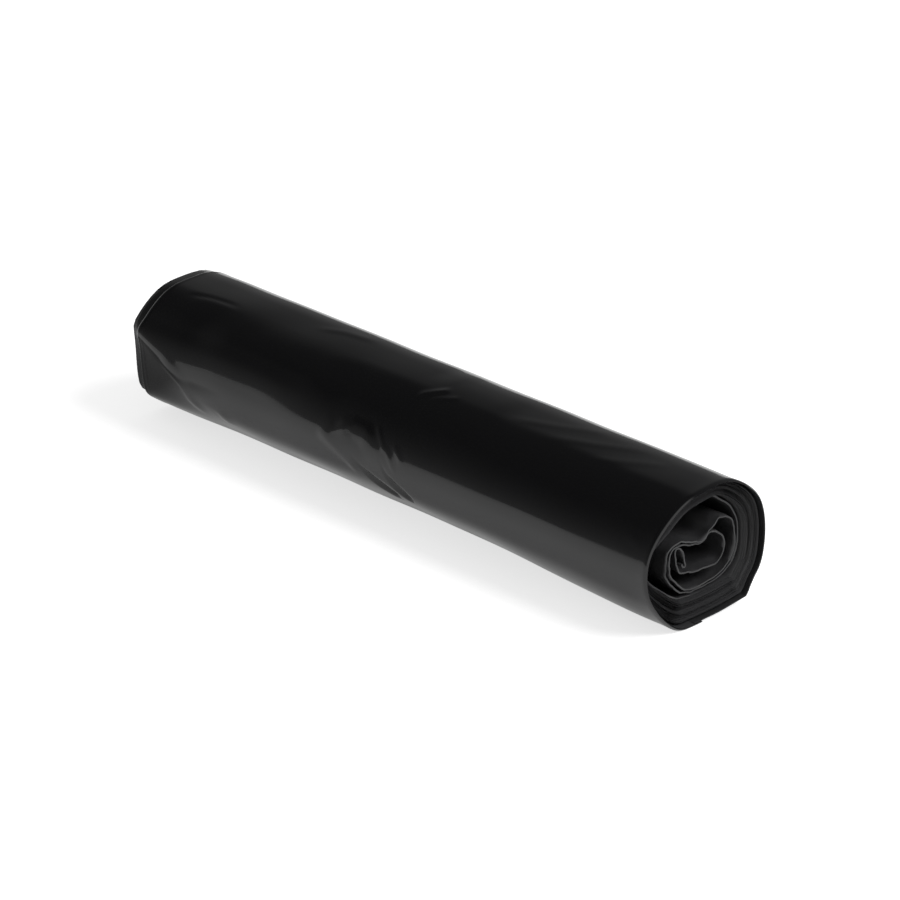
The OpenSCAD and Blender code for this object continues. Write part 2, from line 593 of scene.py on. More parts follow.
@dataclass(frozen=True)
class Slack:
    """Soft waves in the last bag, which isn't wound as tight as the turns under it.

    Attributes:
        height: How far the highest wave stands out.
        count: How many waves lie over each other.
        lengths: The shortest and longest wave along the roll.
        breadths: The shortest and longest wave around it.
        edge: How far from the film's edges they start.
        seed: What the waves' places are drawn from.
    """

    height: float = 0.5
    count: int = 12
    lengths: tuple = (45.0, 150.0)
    breadths: tuple = (35.0, 90.0)
    edge: float = 26.0
    seed: int = 11

    def lift(self, along: np.ndarray, around: np.ndarray, web: float) -> np.ndarray:
        """Works out how far the waves lift each point of the film.

        Args:
            along: Millimetres from the film's back edge.
            around: Millimetres from the free edge.
            web: Width of the web.

        Returns:
            Millimetres outwards, never less than none.
        """
        draw = np.random.default_rng(self.seed)
        total = np.zeros(along.shape)
        for _ in range(self.count):
            across = 2 * np.pi / draw.uniform(*self.lengths)
            down = 2 * np.pi / draw.uniform(*self.breadths)
            slant = draw.choice((-1, 1)) * down
            total += np.cos(across * along + slant * around + draw.uniform(0, 2 * np.pi))
        total = (total / np.abs(total).max() + 1) / 2
        fade = smooth(along / self.edge) * smooth((web - along) / self.edge)
        fade *= smooth(around / self.edge)
        return self.height * total * fade


@dataclass(frozen=True)
class Profiles:
    """The film's own thin sections across the web, which are swept along its path.

    Attributes:
        web: The web's width, in millimetres like all the rest.
        back_stations: Where the loose film's section has points, from the back edge.
        near_stations: The same, from the near edge.
        stack_bevel: How wide the stack's back edge is rounded.
        fold_field: From where to where the last bag is folded most.
        bead_stations: Where its outer face has points beside the back edge.
        outer_spacing: The spacing of the rest before, in and after the field.
        outer_margins: Where that starts and ends, from the edges.
        inner_beads: Where its inner face has points beside the back edge.
        inner_rolls: Where it has points beside the near edge, from there.
        inner_from: Where the rest start and end, from the edges.
        inner_spacing: The spacing of those out of the field and in it.
        near_edge: The last bag's rolled near edge: places from the web's edge, and the side
            from -1 inside to 1 outside.
        rolled_over: How many of those places show the outer surface.
        back_edge: The bead at its back edge, in the same way.
        back_spread: How far the stack spreads at the back end.
        stack_lip: How far the middle of a stack edge stands out.
        firm_edge: The web's margin that never gives way.
        yields_over: How far past it the film gives way fully, at the back and near ends.
    """

    web: float = 350.0
    back_stations: tuple = (0.0, 4.0, 12.0, 30.0, 62.0, 110.0)
    near_stations: tuple = (140, 90, 28, 20, 14, 10, 7, 5, 3, 1.5, 0)
    stack_back_stations: tuple = (8.0, 32.0, 62.0, 110.0)
    stack_near_stations: tuple = (140, 90, 30, 8, 0)
    stack_bevel: float = 0.4
    fold_field: tuple = (132.0, 212.0)
    bead_stations: tuple = (3.1, 4.1, 5.1, 6.2)
    outer_spacing: tuple = (2.4, 1.0, 3.4)
    outer_margins: tuple = (8.0, 10.0)
    inner_beads: tuple = (0.6, 8.0)
    inner_rolls: tuple = (8.0, 4.4)
    inner_from: float = 20.0
    inner_spacing: tuple = (12.0, 5.0)
    near_edge: tuple = (
        (-8.0, 1.0), (-5.0, 1.4), (-3.0, 1.9), (-2.0, 2.1), (-1.4, 1.9), (-0.9, 1.2),
        (-0.45, 0.1), (-0.1, -1.4), (0.15, -2.6), (0.0, -3.4), (-0.8, -3.6), (-2.0, -2.6),
        (-3.4, -1.5),
    )
    rolled_over: int = 9
    back_edge: tuple = ((2.4, 1.05), (1.7, 1.4), (1.1, 1.6), (0.5, 1.0), (0.0, 0.2), (-0.2, -0.6))
    back_spread: float = 1.2
    stack_lip: float = 0.1
    firm_edge: float = 8.0
    yields_over: tuple = (24.0, 22.0)

    def profile(
        self, name: str, outer: list[float], inner: list[float], gives: bool = False,
        rolled: bool = False,
    ) -> bpy.types.Object:
        """Makes the film's own thin section across the web.

        Args:
            name: The object's name.
            outer: Millimetres from the web's back edge to each point of the outer face.
            inner: The same for the inner face.
            gives: Whether the film gives way under the folds, away from its edges.
            rolled: Whether its edges are the last bag's, which are thicker and roll over.

        Returns:
            A mesh of one closed line: outer face, near edge, inner face, back edge.
        """
        near = [(self.web + self.stack_lip, 0.0)]
        back = [(-self.back_spread * (not rolled) - self.stack_lip, 0.0)]
        if rolled:
            near = [(self.web + x, side) for x, side in self.near_edge]
            back = list(self.back_edge[::-1])
        line = [(x, 1.0) for x in outer] + near + [(x, -1.0) for x in inner[::-1]] + back
        across, face = np.array(line).T
        shining = len(outer) + min(len(near), self.rolled_over)
        gloss = np.ones(len(line))
        gloss[shining : len(line) - len(back)] = 0
        from_back, from_near = self.yields_over
        yields = smooth((across - self.firm_edge) / from_back)
        yields = yields * smooth((self.web - self.firm_edge - across) / from_near) * gives
        mesh = bpy.data.meshes.new(name)
        points = [(x * MM, f * MM, 0) for x, f in zip(across, face)]
        total = len(points)
        mesh.from_pydata(points, [(k, (k + 1) % total) for k in range(total)], [])
        store(mesh, {"across": across * MM, "face": face, "yields": yields, "gloss": gloss})
        return put_in_scene(name, mesh)

    def loose(self) -> bpy.types.Object:
        """Makes the section of the loose middle's film."""
        stations = list(self.back_stations) + [self.web - v for v in self.near_stations]
        return self.profile("loose_profile", stations, stations)

    def stack(self) -> bpy.types.Object:
        """Makes the section of the stack's film, whose back edge is rounded a little."""
        stations = list(self.stack_back_stations) + [self.web - v for v in self.stack_near_stations]
        outer = [self.stack_bevel - self.back_spread] + stations
        return self.profile("stack_profile", outer, [-self.back_spread] + stations, gives=True)

    def last(self) -> bpy.types.Object:
        """Makes the section of the last bag's film, with most points where it is folded."""
        folds_from, folds_to = self.fold_field
        before, within, after = self.outer_spacing
        first, last = self.outer_margins
        outer = set(self.bead_stations)
        outer.update(np.arange(first, folds_from, before).round(2).tolist())
        outer.update(np.arange(folds_from, folds_to, within).tolist())
        outer.update(np.arange(folds_to, self.web - last, after).round(2).tolist())
        usual, folded = self.inner_spacing
        inner = set(self.inner_beads) | {self.web - v for v in self.inner_rolls}
        inner.update(np.arange(self.inner_from, self.web - self.inner_from, usual).tolist())
        inner.update(np.arange(folds_from, folds_to, folded).tolist())
        return self.profile("last_profile", sorted(outer), sorted(inner), rolled=True)


@dataclass
class FilmRoll:
    """The wound web: its loose middle and stack, and its last turn with the folds in it.

    Sizes are in millimetres, angles in degrees, and turns are the CAD model's, from 0 where
    the stack starts to counted_turns at the free edge.

    Attributes:
        last_step: How far the web steps out before the last turn.
        inner_drift: How far it has drifted by then.
        edge_wobble: How far its edge wanders besides.
        step_turn: The part of a turn that the step takes.
        wobble_angle: How far round a turn brings the wander.
        flat_len: How far along the roll the back end's flat runs out.
        flat_angle: The way that it faces, from +Y towards +Z.
        flat_twist: How it turns towards the underside.
        flat_softness: How softly it meets the round film.
        least_easing: The least slope that it runs out with, as a share of the usual one.
        rise: How high the near end's lower corner is raised.
        rise_from: Where across the roll that starts.
        rise_len: How far along the roll it runs out.
        stray: How far single edges stray at the ends.
        stray_turn: The part of a turn after which an edge strays anew.
        stray_from: The turn from which edges stray.
        stray_until: The turn from which they stray less.
        bunch_stray: How far the bunches stand out at the ends, by turn.
        recess: How deep the near end is hollow on its left.
        recess_reach: How far along the roll that goes.
        recess_aside: How far from the middle it starts, and over what width.
        recess_level: How high its middle lies, and how far up and down it reaches.
        bare_cover: Film with less than this over it is the outer surface.
        sharp_from: The angle from which an edge is shown sharp.
        seed: What the strays are drawn from.
        loose_steps: Points on the loose middle's path for each corner point.
        give: How far the stack gives way under the folds.
        give_from: The turn from which it does.
        gives_way: Where the whole roll has given way, or bulges.
    """

    film: PolyethyleneFilm
    # Its lighter black is painted sheen on the inner turns and the ends.
    crumpled_film_with_painted_sheen: PolyethyleneFilm
    section: Section = field(default_factory=Section)
    slack: Slack = field(default_factory=Slack)
    profiles: Profiles = field(default_factory=Profiles)
    node: str = "bag_roll"
    last_step: float = 4.5
    inner_drift: float = 2.0
    edge_wobble: float = 0.5
    step_turn: float = 0.4
    wobble_angle: float = 150.0
    flat_depth: float = 7.0
    flat_len: float = 46.0
    flat_angle: float = 187.0
    flat_twist: float = 16.0
    flat_softness: float = 3.4
    least_easing: float = 0.25
    rise: float = 3.2
    rise_width: float = 28.0
    rise_from: float = -3.0
    rise_len: float = 70.0
    stray: float = 1.0
    stray_turn: float = 0.15
    stray_from: float = -4.0
    stray_until: float = 8.4
    bunch_stray: tuple = (
        (-1.0, 0.0), (0.6, 0.6), (1.0, 2.2), (2.4, 2.0), (2.8, 0.2), (4.2, 0.4),
        (4.7, 1.9), (5.9, 1.6), (6.3, 0.1), (7.6, 0.5), (8.0, 1.7), (9.0, 1.2),
    )
    crumple_size: float = 9.0
    crumple_height: float = 3.4
    recess: float = 9.0
    recess_reach: float = 45.0
    recess_aside: tuple = (20.0, 4.0)
    recess_level: tuple = (31.0, 11.0)
    bare_cover: float = 1.2
    sharp_from: float = 70.0
    seed: int = 7
    loose_steps: int = 5
    stack_steps: int = 3
    last_steps: int = 11
    give: float = 1.4
    give_from: float = 5.0
    folds: tuple = (
        Fold(((24, 62), (33, 59), (39, 56), (43, 53), (46, 45), (49, 41), (53, 34)), 0.7, 7.0, 2.2),
        Fold(((67, 48), (69.5, 43), (72, 36)), 0.5, 8.0, 1.8),
        Fold(((139, 61), (147, 59), (156, 55), (163, 52), (169, 46)), 0.9, 12.0, 4.2),
        Fold(
            ((163, 58), (168, 53.5), (173, 50), (180, 45), (187, 40), (192, 36)),
            -2.3, 6.5, 4.4, grows=True, hollow=1.9,
        ),
        Fold(
            ((183, 62), (185, 58), (188, 53.5), (192.5, 49), (197, 45), (202, 39)),
            -1.7, 5.0, 3.4, grows=True, hollow=1.8,
        ),
        Fold(((176, 75), (180, 71), (184, 67), (187, 62)), 0.3, 1.4, 1.8),
        Fold(((184, 68), (188, 64), (192, 59), (195, 55)), 0.25, 2.2, 1.8),
        Fold(((190, 69), (195, 65), (199, 60.5)), 0.3, 2.6, 1.8),
        Fold(((149, 62.5), (153, 65), (158, 67.5), (164, 70)), 0.3, 1.4, 2.6),
        Fold(((150, 67), (162, 70.5), (171, 70), (179, 65)), 0.8, 4.5, 9.0, Crease.SOFT),
        Fold(((18, 98), (32, 102), (45, 103.5), (54, 103)), -0.4, 2.4, 2.4),
        Fold(((184, 95), (190, 100), (198, 107)), 0.5, 3.2, 3.2),
        Fold(((192, 96), (199, 99), (207, 103)), 0.3, 3.0, 2.2),
        Fold(((235, 103), (262, 112), (290, 124)), 0.18, 4.0, 4.0, Crease.SOFT),
        Fold(((262, 101), (288, 110), (315, 122)), 0.2, 4.0, 4.0, Crease.SOFT),
        Fold(((292, 98), (312, 107), (332, 118)), 0.16, 4.0, 4.0, Crease.SOFT),
        Fold(((-45, 72), (20, 72), (60, 73), (100, 73), (140, 71)), 0.75, 8.0, 11.0, Crease.SOFT),
        Fold(((10.6, 26), (10.6, 50), (10.6, 74)), 0.16, 1.0, 1.0),
        Fold(((40, 84), (95, 83), (150, 85)), 1.8, 20.0, 20.0, Crease.SOFT),
        Fold(((180, 120), (200, 114), (240, 112)), 0.6, 18.0, 18.0, Crease.SOFT),
        Fold(((343, 73), (346, 70), (348, 68)), 0.25, 2.5, 2.5),
        Fold(((30, 152), (47, 158), (66, 162)), 0.4, 4.0, 3.4),
        Fold(((62, 176), (84, 167), (102, 155)), 0.35, 4.2, 3.2),
        Fold(((122, 184), (141, 174), (158, 161), (170, 148)), -0.5, 5.5, 3.4),
        Fold(((152, 190), (168, 179), (181, 166)), 0.35, 3.4, 3.4),
        Fold(((228, 142), (254, 153), (280, 161)), 0.35, 5.0, 5.0, Crease.SOFT),
        Fold(((266, 182), (284, 172), (299, 158)), 0.4, 4.2, 3.4),
        Fold(((96, 112), (112, 118), (134, 121)), 0.25, 3.6, 3.6),
    )
    gives_way: tuple = (
        Give(along=(-1, 0, 12, 62), middle=(-33.0, 12.0), reach=21.0, move=(-3.4, -0.2)),
        Give(along=(-1, 0, 15, 95), middle=(-18.0, 62.0), reach=24.0, move=(-0.8, 1.5)),
        Give(along=(-80, -10, 215, 345), middle=(-24.0, 4.0), reach=19.0, move=(1.6, 3.6)),
    )

    def path(self, name: str, rows: np.ndarray) -> bpy.types.Object:
        """Makes the line that the film follows in the section.

        Args:
            name: The object's name.
            rows: What Section.wound gives for each point.

        Returns:
            A mesh of one open line, with the film's values on its points.
        """
        depth, turn, cover, thickness = rows[:, 2:].T
        places = np.zeros((len(rows), 3))
        places[:, 1:] = rows[:, :2]
        mesh = bpy.data.meshes.new(name)
        edges = [(k, k + 1) for k in range(len(rows) - 1)]
        mesh.from_pydata((places * MM).tolist(), edges, [])
        tangent = np.gradient(places, axis=0)
        tangent /= np.linalg.norm(tangent, axis=1)[:, None]
        outward = np.stack([0 * tangent[:, 0], tangent[:, 2], -tangent[:, 1]], 1)
        steps = np.linalg.norm(np.diff(places, axis=0), axis=1)
        around = np.concatenate([[0], np.cumsum(steps)])
        last_turn = self.section.counted_turns - 1
        store(mesh, {
            "stray": self.strays(turn) * MM, "crumple": 1 - smooth(turn + 1),
            "depth": depth * MM, "turn": turn, "cover": cover * MM,
            "half": thickness * MM / 2, "around": around[-1] - around,
            "soft": smooth((turn - self.give_from) / (last_turn - self.give_from)),
            "place": places * MM, "outward": outward,
        })
        return put_in_scene(name, mesh)

    def strays(self, turn: np.ndarray) -> np.ndarray:
        """Works out how far the edges stand out of line at the ends.

        Args:
            turn: The turn of each point of the path.

        Returns:
            Millimetres along the roll, the same at each draw.
        """
        draw = np.random.default_rng(self.seed)
        knots = np.arange(self.stray_from, self.section.counted_turns + 1, self.stray_turn)
        stray = np.interp(turn, knots, draw.random(len(knots))) * self.stray
        stray += np.interp(turn, *zip(*self.bunch_stray))
        return stray * (1 - smooth(turn - self.stray_until))

    def sweep_tree(self) -> bpy.types.NodeTree:
        """Builds the node tree that sweeps the film along its path and presses its flats.

        Returns:
            A tree whose named inputs are the profile, the material and the roll's sizes.
        """
        tree = bpy.data.node_groups.new("wound_film", "GeometryNodeTree")
        for kind, names in (
            ("Geometry", ("Geometry",)), ("Object", ("Profile",)), ("Material", ("Film",)),
            ("Float", self.tree_values()), ("Vector", self.tree_vectors()),
        ):
            for name in names:
                tree.interface.new_socket(name, in_out="INPUT", socket_type="NodeSocket" + kind)
        tree.interface.new_socket("Geometry", in_out="OUTPUT", socket_type="NodeSocketGeometry")
        known = {socket.name: socket for socket in tree.nodes.new("NodeGroupInput").outputs}
        for name in (
            "depth", "turn", "cover", "half", "soft", "stray", "crumple", "across", "face",
            "yields", "place", "outward",
        ):
            kind = "FLOAT_VECTOR" if name in ("place", "outward") else "FLOAT"
            known[name] = add(
                tree, "GeometryNodeInputNamedAttribute", {"Name": name}, data_type=kind
            )
        line = add(tree, "GeometryNodeMeshToCurve", {"Mesh": known["Geometry"]})
        thing = add(tree, "GeometryNodeObjectInfo", {"Object": known["Profile"]}, out="Geometry")
        ring = add(tree, "GeometryNodeMeshToCurve", {"Mesh": thing})
        swept = add(
            tree, "GeometryNodeCurveToMesh",
            {"Curve": line, "Profile Curve": ring, "Fill Caps": True},
        )
        self.place_faces(tree, known)
        self.drift(tree, known)
        self.press_flats(tree, known)
        shaped = add(
            tree, "GeometryNodeSetPosition", {"Geometry": swept, "Position": known["point"]}
        )
        whole = add(tree, "GeometryNodeRealizeInstances", {"Geometry": shaped})
        dressed = add(
            tree, "GeometryNodeSetMaterial", {"Geometry": whole, "Material": known["Film"]}
        )
        result = tree.nodes.new("NodeGroupOutput")
        tree.links.new(dressed, result.inputs["Geometry"])
        return tree

    @staticmethod
    def place_faces(tree: bpy.types.NodeTree, known: Sockets) -> None:
        """Works out where the film's faces run before anything presses them.

        Args:
            tree: The sweep's tree.
            known: Its sockets by name, which get the face's place, depth and cover.
        """
        across = add(tree, "ShaderNodeCombineXYZ", {"X": known["across"]})
        there = add(tree, VECTOR, {0: known["place"], 1: across}, operation="ADD")
        known["noise"] = add(
            tree, "ShaderNodeTexNoise",
            {"Vector": there, "Scale": known["Crumple Scale"], "Detail": 2.0, "Roughness": 0.6},
        )
        add_steps(tree, known, (
            ("out_by", NUMBER, "MULTIPLY", "face", "half"),
            ("yielding", NUMBER, "MULTIPLY", "soft", "yields"),
            ("inside", NUMBER, "MULTIPLY_ADD", "yielding", "Give", "out_by"),
            # Less twice what the face stands out by, so that it counts inwards
            ("inside", NUMBER, "MULTIPLY_ADD", "out_by", -2.0, "inside"),
            ("noise", NUMBER, "SUBTRACT", "noise", 0.5),
            ("noise", NUMBER, "MULTIPLY", "noise", "Crumple Height"),
            ("crumpled", NUMBER, "MULTIPLY_ADD", "noise", "crumple", "inside"),
            ("inwards", VECTOR, "SCALE", "outward", "crumpled"),
            ("point", VECTOR, "SUBTRACT", "place", "inwards"),
            ("deep", NUMBER, "ADD", "depth", "inside"),
            ("covered", NUMBER, "ADD", "cover", "inside"),
        ))

    @staticmethod
    def drift(tree: bpy.types.NodeTree, known: Sockets) -> None:
        """Works out the web's drift as it is wound, and its step before the last turn.

        Args:
            tree: The sweep's tree.
            known: Its sockets by name, which get how far along the roll a point lies.
        """
        stepped = add(
            tree, "ShaderNodeMapRange",
            {"Value": known["turn"], "From Min": known["Step From"], "From Max": known["Step To"]},
            interpolation_type="SMOOTHSTEP",
        )
        add_steps(tree, known, (
            ("swing", NUMBER, "MULTIPLY", "turn", "Wobble Angle"),
            ("swing", NUMBER, "COSINE", "swing"),
            ("swing", NUMBER, "SUBTRACT", 1.0, "swing"),
            ("wave", NUMBER, "MULTIPLY", "swing", "Half Wobble"),
            ("share", NUMBER, "DIVIDE", "turn", "Turns"),
            ("share", NUMBER, "MAXIMUM", "share", 0.0),
            ("share", NUMBER, "POWER", "share", 2.0),
            ("inner", NUMBER, "MULTIPLY_ADD", "share", "Inner Drift", "wave"),
        ))
        known["drift"] = add(
            tree, "ShaderNodeMix",
            {"Factor": stepped, "A": known["inner"], "B": known["Whole Drift"]},
            data_type="FLOAT",
        )
        add_steps(tree, known, (
            ("drift", NUMBER, "ADD", "drift", "stray"),
            ("along", NUMBER, "ADD", "drift", "across"),
        ))

    @staticmethod
    def press_flats(tree: bpy.types.NodeTree, known: Sockets) -> None:
        """Presses the flats in, raises the near end's lower corner, and places the roll.

        Args:
            tree: The sweep's tree.
            known: Its sockets by name, which get the finished place.
        """
        add_steps(tree, known, (
            # The back end's flat pushes each point by what it stands out past it.
            ("stands", VECTOR, "DOT_PRODUCT", "point", "Flat Facing"),
            ("excess", NUMBER, "ADD", "stands", "deep"),
            ("excess", NUMBER, "SUBTRACT", "excess", "Flat Reach"),
            ("below", VECTOR, "DOT_PRODUCT", "point", "Flat Below"),
            ("eases", NUMBER, "MULTIPLY_ADD", "below", "Twist Slope", "Easing"),
            ("eases", NUMBER, "MAXIMUM", "eases", "Least Easing"),
            ("run_out", NUMBER, "MULTIPLY", "eases", "along"),
            ("push", NUMBER, "SUBTRACT", "excess", "run_out"),
            ("push", NUMBER, "SMOOTH_MAX", "push", 0.0, "Flat Softness"),
            ("pushed", VECTOR, "SCALE", "Flat Facing", "push"),
            ("point", VECTOR, "SUBTRACT", "point", "pushed"),
        ))
        known["height"] = add(tree, "ShaderNodeSeparateXYZ", {0: known["point"]}, out="Z")
        add_steps(tree, known, (
            # The underside's flat lifts each point to where its cover still fits.
            ("sunk", NUMBER, "SUBTRACT", "covered", "height"),
            ("sunk", NUMBER, "SUBTRACT", "sunk", "Half Height"),
            ("raised", NUMBER, "MAXIMUM", "sunk", 0.0),
        ))
        known["moved"] = add(
            tree, "ShaderNodeCombineXYZ", {"X": known["along"], "Z": known["raised"]}
        )
        add_steps(tree, known, (
            ("point", VECTOR, "ADD", "point", "moved"),
            # The raised corner is a second flat, which slopes along the roll.
            ("stands", VECTOR, "DOT_PRODUCT", "point", "Rise Facing"),
            ("stands", NUMBER, "ADD", "stands", "covered"),
            ("excess", NUMBER, "MULTIPLY_ADD", "across", "Rise Slope", "stands"),
            ("push", NUMBER, "SUBTRACT", "excess", "Rise Reach"),
            ("push", NUMBER, "MAXIMUM", "push", 0.0),
            ("pushed", VECTOR, "SCALE", "Rise Facing", "push"),
            ("point", VECTOR, "SUBTRACT", "point", "pushed"),
            ("point", VECTOR, "ADD", "point", "Offset"),
        ))

    def tree_values(self) -> dict[str, float]:
        """Gives the sweep's number inputs, in metres and radians."""
        turns = self.section.counted_turns
        depth = self.flat_depth / self.flat_len
        slope = self.rise / self.rise_len
        corner = np.array([self.rise_from, -self.section.height / 2])
        return {
            "Give": self.give * MM,
            "Turns": turns,
            "Step From": turns - 1 - self.step_turn,
            "Step To": turns - 1,
            "Wobble Angle": math.radians(self.wobble_angle),
            "Half Wobble": self.edge_wobble * MM / 2,
            "Inner Drift": self.inner_drift * MM,
            "Whole Drift": (self.inner_drift + self.last_step) * MM,
            "Flat Reach": (self.section.width / 2 - self.flat_depth) * MM,
            "Flat Softness": self.flat_softness * MM,
            "Easing": depth,
            "Least Easing": self.least_easing * depth,
            "Twist Slope": -math.tan(math.radians(self.flat_twist)) / (self.flat_len * MM),
            "Half Height": self.section.height * MM / 2,
            "Crumple Scale": 1 / (self.crumple_size * MM),
            "Crumple Height": self.crumple_height * MM,
            "Rise Slope": slope,
            "Rise Reach": float(corner @ self.rise_facing() + slope * self.profiles.web) * MM,
        }

    def tree_vectors(self) -> dict[str, tuple]:
        """Gives the sweep's vector inputs: directions, and the roll's place in metres."""
        half_length = (self.profiles.web + self.last_step + self.inner_drift) / 2
        return {
            "Flat Facing": (0.0, *facing(self.flat_angle)),
            "Flat Below": (0.0, *facing(self.flat_angle + 90)),
            "Rise Facing": (0.0, *self.rise_facing()),
            "Offset": (-half_length * MM, 0.0, self.section.height * MM / 2),
        }

    def rise_facing(self) -> np.ndarray:
        """Gives the way that the underside's raised corner faces."""
        return facing(math.degrees(math.atan2(self.rise, self.rise_width)) - 90)

    def sweep(
        self, tree: bpy.types.NodeTree, line: bpy.types.Object, shape: bpy.types.Object,
        material: bpy.types.Material,
    ) -> bpy.types.Mesh:
        """Sweeps a profile along a path and turns the result into a plain mesh.

        Args:
            tree: What sweep_tree built.
            line: The path, which is used up.
            shape: The profile, which is used up.
            material: The film's material.

        Returns:
            The film's mesh, with its faces outwards.
        """
        modifier = line.modifiers.new("wound_film", "NODES")
        modifier.node_group = tree
        values = {**self.tree_values(), **self.tree_vectors(), "Profile": shape, "Film": material}
        for item in tree.interface.items_tree:
            if item.in_out == "INPUT" and item.name in values:
                modifier[item.identifier] = values[item.name]
        line.update_tag()
        depsgraph = bpy.context.evaluated_depsgraph_get()
        mesh = bpy.data.meshes.new_from_object(line.evaluated_get(depsgraph))
        for used in (line, shape):
            bpy.data.objects.remove(used)
        edit = bmesh.new()
        edit.from_mesh(mesh)
        if edit.calc_volume(signed=True) < 0:
            bmesh.ops.reverse_faces(edit, faces=edit.faces)
        edit.to_mesh(mesh)
        edit.free()
        return mesh

    @staticmethod
    def places(mesh: bpy.types.Mesh) -> np.ndarray:
        """Reads a mesh's points, in metres, one row each."""
        place = np.empty(len(mesh.vertices) * 3)
        mesh.vertices.foreach_get("co", place)
        return place.reshape(-1, 3)

    @staticmethod
    def put(mesh: bpy.types.Mesh, place: np.ndarray) -> None:
        """Puts a mesh's points where the rows say, in metres."""
        mesh.vertices.foreach_set("co", place.ravel())
        mesh.update()

    def press_end(self, mesh: bpy.types.Mesh) -> None:
        """Sinks the near end of the stack on the side where it is hollow.

        Args:
            mesh: A stretch of film inside the last turn.
        """
        place = self.places(mesh)
        start, width = self.recess_aside
        middle, reach = self.recess_level
        near = smooth((place[:, 0] - CAD_BOX[1].x) / (self.recess_reach * MM) + 1)
        aside = smooth((-place[:, 1] - start * MM) / (width * MM))
        level = np.exp(-(((place[:, 2] - middle * MM) / (reach * MM)) ** 2))
        place[:, 0] -= self.recess * MM * near * aside * level
        self.put(mesh, place)

    def settle(self, mesh: bpy.types.Mesh) -> None:
        """Lets the film give way where the whole roll does, and rest on the floor.

        Args:
            mesh: A stretch of film.
        """
        place = self.places(mesh)
        seen = place / MM - np.array([CAD_BOX[0].x / MM, 0, 0])
        for give in self.gives_way:
            place[:, 1:] += give.shift(seen) * MM
        place[:, 2] = np.maximum(place[:, 2], CAD_BOX[0].z)
        self.put(mesh, place)

    def press_folds(self, mesh: bpy.types.Mesh) -> None:
        """Presses the folds and the soft waves into the last turn.

        Args:
            mesh: The last turn, with the values that the sweep stored on it.
        """
        place = self.places(mesh)
        count = len(mesh.vertices)
        around = np.empty(count)
        mesh.attributes["around"].data.foreach_get("value", around)
        outward = np.empty(count * 3)
        mesh.attributes["outward"].data.foreach_get("vector", outward)
        along = place[:, 0] / MM - CAD_BOX[0].x / MM
        lift = np.zeros(count)
        for fold in self.folds:
            lift += fold.lift(along, around)
        from_edge = along - self.last_step - self.inner_drift
        lift += self.slack.lift(from_edge, around, self.profiles.web)
        place += outward.reshape(-1, 3) * lift[:, None] * MM
        place[:, 2] = np.maximum(place[:, 2], CAD_BOX[0].z)
        self.put(mesh, place)

    def build(self) -> bpy.types.Object:
        """Builds the whole film and puts it in the CAD node's place.

        Returns:
            The dressed roll.
        """
        glossy = self.film.material()
        crumpled = self.crumpled_film_with_painted_sheen.material()
        tree = self.sweep_tree()
        corners = self.section.corner_points()
        per_turn = len(self.section.outline)
        to_stack = len(corners) - 1 - per_turn * self.section.turns
        to_last = len(corners) - 1 - per_turn
        rows = self.section.eased(corners[: to_stack + 1], self.loose_steps)
        loose = self.sweep(tree, self.path("loose_path", rows), self.profiles.loose(), crumpled)
        rows = self.section.eased(corners[to_stack - 1 : to_last + 1], self.stack_steps)
        stack = self.sweep(tree, self.path("stack_path", rows), self.profiles.stack(), crumpled)
        rows = self.section.eased(corners[to_last - 1 :], self.last_steps, to_corner=True)
        last = self.sweep(tree, self.path("last_path", rows), self.profiles.last(), glossy)
        for mesh in (loose, stack):
            self.press_end(mesh)
        for mesh in (loose, stack, last):
            self.settle(mesh)
        self.press_folds(last)
        roll = put_in_scene("film_roll", self.join(loose, stack, last, glossy, crumpled))
        self.centre(roll.data)
        roll.data.shade_smooth()
        roll.data.set_sharp_from_angle(angle=math.radians(self.sharp_from))
        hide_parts(self.node)
        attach(roll, "root")
        triangles = sum(len(face.vertices) - 2 for face in roll.data.polygons)
        LOG.info("%s: %d triangles", roll.name, triangles)
        return roll

    def join(
        self, loose: bpy.types.Mesh, stack: bpy.types.Mesh, last: bpy.types.Mesh,
        glossy: bpy.types.Material, crumpled: bpy.types.Material,
    ) -> bpy.types.Mesh:
        """Joins the three stretches of film, with the outer faces glossy.

        Args:
            loose: The loose middle.
            stack: The stack, which is used up.
            last: The last turn, which is used up.
            glossy: The material of what can be seen of the outer surface.
            crumpled: The material of the rest, whose lighter black is painted sheen.

        Returns:
            One mesh, made in the loose middle's own.
        """
        loose.materials.clear()
        for material in (crumpled, glossy):
            loose.materials.append(material)
        edit = bmesh.new()
        for mesh in (loose, stack, last):
            faces_inside = len(edit.faces)
            edit.from_mesh(mesh)
        edit.faces.ensure_lookup_table()
        gloss_layer = edit.verts.layers.float["gloss"]
        cover_layer = edit.verts.layers.float["cover"]
        for number, face in enumerate(edit.faces):
            outside = min(vert[gloss_layer] for vert in face.verts) > 0.5
            most_cover = max(vert[cover_layer] for vert in face.verts)
            bare = number >= faces_inside or most_cover < self.bare_cover * MM
            face.material_index = int(outside and bare)
            face.smooth = True
        edit.to_mesh(loose)
        edit.free()
        for used in (stack, last):
            bpy.data.meshes.remove(used)
        return loose

    def centre(self, mesh: bpy.types.Mesh) -> None:
        """Moves the film so that the middle of its width is the CAD solid's."""
        low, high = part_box(self.node)
        sides = [v.co.y for v in mesh.vertices]
        shift = (low.y + high.y) / 2 - (min(sides) + max(sides)) / 2
        mesh.transform(Matrix.Translation((0, shift, 0)))


